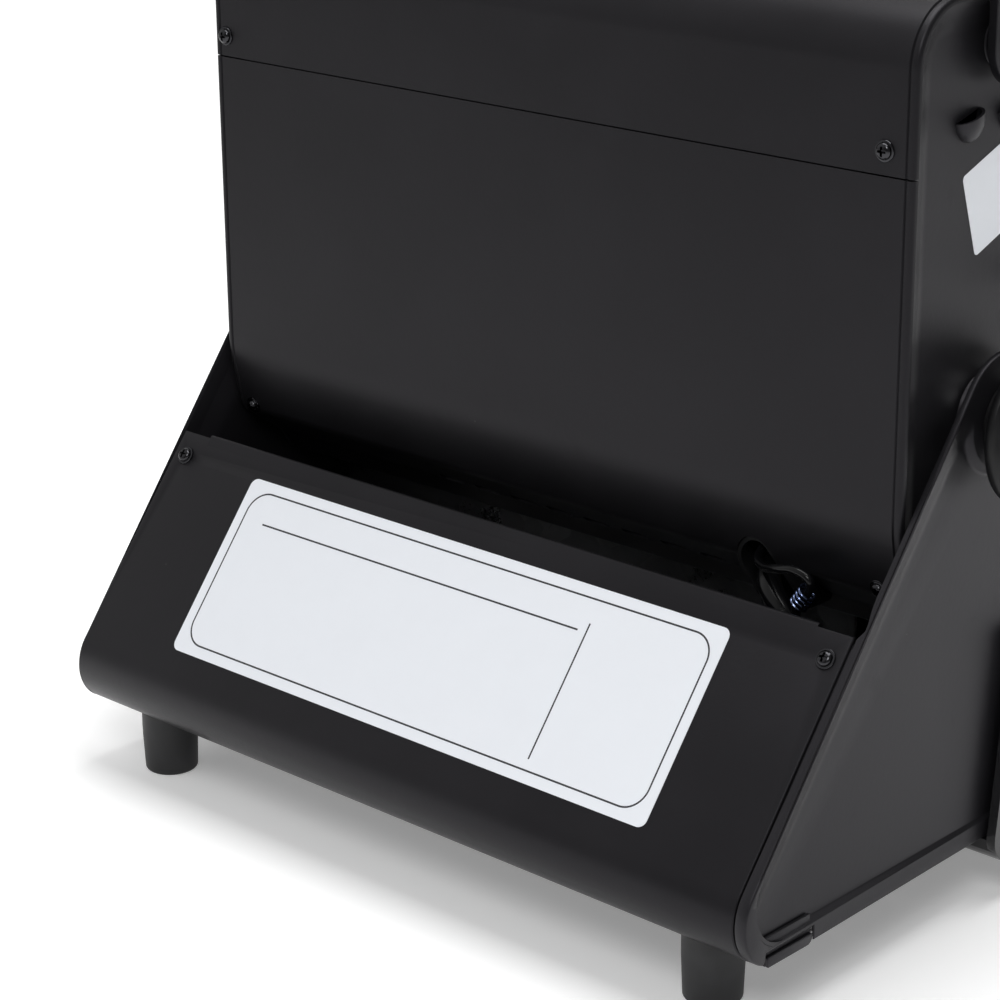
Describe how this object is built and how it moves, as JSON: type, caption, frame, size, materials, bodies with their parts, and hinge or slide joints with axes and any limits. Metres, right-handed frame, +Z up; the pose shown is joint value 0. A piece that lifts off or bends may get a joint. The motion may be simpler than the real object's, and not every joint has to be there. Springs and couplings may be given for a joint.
{
  "type": "gas cartridge heater",
  "caption": "Portable gas cartridge heater with a tilting burner head between side plates, a fold-down handle and a wedge-shaped base that holds the cartridge.",
  "frame": {"origin": "bottom centre of the bounding box, on the ground", "axes": "X runs along the width, the burner faces -Y, Z is up"},
  "size_m": [0.348, 0.2239, 0.36],
  "materials": {
    "black_powder_coat": "satin black powder coat",
    "gloss_moulding": "glossy black moulding",
    "black_plastic": "fine-textured black plastic",
    "foot_rubber": "matt black rubber",
    "hose_rubber": "smooth black rubber",
    "dark_screw": "black zinc screws",
    "bright_steel": "bright steel",
    "galvanised_sheet": "zinc-coated sheet",
    "guard_chrome": "bright plated wire",
    "blued_wire": "blue zinc wire",
    "cast_zinc": "die-cast, as cast",
    "brass_fitting": "turned brass",
    "plaque_ceramic": "off-white porous ceramic",
    "fibre_gasket": "white ceramic fibre"
  },
  "bodies": {
    "base": {"rear_panel": "black_powder_coat", "base_floor": "black_powder_coat", "side_plate_left": "black_powder_coat", "side_plate_right": "black_powder_coat", "front_housing": "gloss_moulding", "bay_partition": "galvanised_sheet", "cartridge_cradle": "galvanised_sheet", "foot_rear_left": "foot_rubber", "foot_rear_right": "foot_rubber", "foot_front_left": "foot_rubber", "foot_front_right": "foot_rubber", "base_screws": "dark_screw", "valve_body": "cast_zinc", "hose_barb": "brass_fitting", "piezo_igniter": "black_plastic", "cover_hinge_pin": "bright_steel", "lead_spring": "blued_wire", "gas_hose": "hose_rubber", "ignition_lead": "hose_rubber"},
    "head": {"hood": "black_powder_coat", "rear_lower_panel": "black_powder_coat", "head_base_plate": "black_powder_coat", "head_side_left": "black_powder_coat", "head_side_right": "black_powder_coat", "front_bezel": "black_powder_coat", "reflector": "bright_steel", "plaque_left": "plaque_ceramic", "plaque_right": "plaque_ceramic", "plaque_gasket": "fibre_gasket", "burner_box": "galvanised_sheet", "mixer_tube": "galvanised_sheet", "jet_holder": "brass_fitting", "gas_pipe": "bright_steel", "inlet_fitting": "brass_fitting", "hose_grommet": "black_plastic", "electrode": "plaque_ceramic", "guard_grille": "guard_chrome", "guard_clips": "dark_screw", "pivot_bolts": "bright_steel", "pivot_washers": "bright_steel", "head_screws": "dark_screw", "handle_bolts": "dark_screw", "handle_bushes": "black_plastic", "ring_bush": "black_plastic", "ring_spring": "bright_steel"},
    "handle": {"handle_strap": "black_powder_coat", "handle_grip": "black_plastic"},
    "knob_left": {"tilt_knob_left": "black_plastic"},
    "knob_right": {"tilt_knob_right": "black_plastic"},
    "valve_knob": {"control_knob": "black_plastic", "valve_spindle": "bright_steel"},
    "lever": {"cartridge_lever": "black_plastic"},
    "hook": {"cartridge_hook": "bright_steel"},
    "cover": {"cartridge_cover": "gloss_moulding"},
    "ring": {"pull_ring": "guard_chrome"}
  },
  "joints": [
    {"name": "head_tilt", "type": "hinge", "parent": "base", "child": "head", "pos_m": [0, -0.0113, 0.166], "axis": [-1, 0, 0], "range_deg": [0, 40], "deforming": ["gas_hose", "ignition_lead"]},
    {"name": "handle_fold", "type": "hinge", "parent": "head", "child": "handle", "pos_m": [0, -0.0115, 0.281], "axis": [1, 0, 0], "range_deg": [-90, 90]},
    {"name": "tilt_knob_left_turn", "type": "hinge", "parent": "head", "child": "knob_left", "pos_m": [0.16, -0.0113, 0.166], "axis": [1, 0, 0], "range_deg": [0, 270]},
    {"name": "tilt_knob_right_turn", "type": "hinge", "parent": "head", "child": "knob_right", "pos_m": [-0.16, -0.0113, 0.166], "axis": [-1, 0, 0], "range_deg": [0, 270]},
    {"name": "control_knob_turn", "type": "hinge", "parent": "base", "child": "valve_knob", "pos_m": [-0.127, -0.1, 0.0555], "axis": [0, -1, 0], "range_deg": [0, 120]},
    {"name": "cartridge_lever_slide", "type": "slide", "parent": "base", "child": "lever", "axis": [0, 0, -1], "range_m": [0, 0.016]},
    {"name": "cartridge_hook_slide", "type": "slide", "parent": "base", "child": "hook", "axis": [-1, 0, 0], "range_m": [0, 0.005]},
    {"name": "cover_open", "type": "hinge", "parent": "base", "child": "cover", "pos_m": [0, -0.0992, 0.0202], "axis": [1, 0, 0], "range_deg": [0, 95]},
    {"name": "ring_pull", "type": "slide", "parent": "head", "child": "ring", "axis": [-1, 0, 0], "range_m": [0, 0.012], "stiffness_N_per_m": 150, "deforming": ["ring_spring"]}
  ],
  "couplings": [
    {"joint": "cartridge_hook_slide", "follows": "cartridge_lever_slide", "ratio": 0.3125}
  ]
}
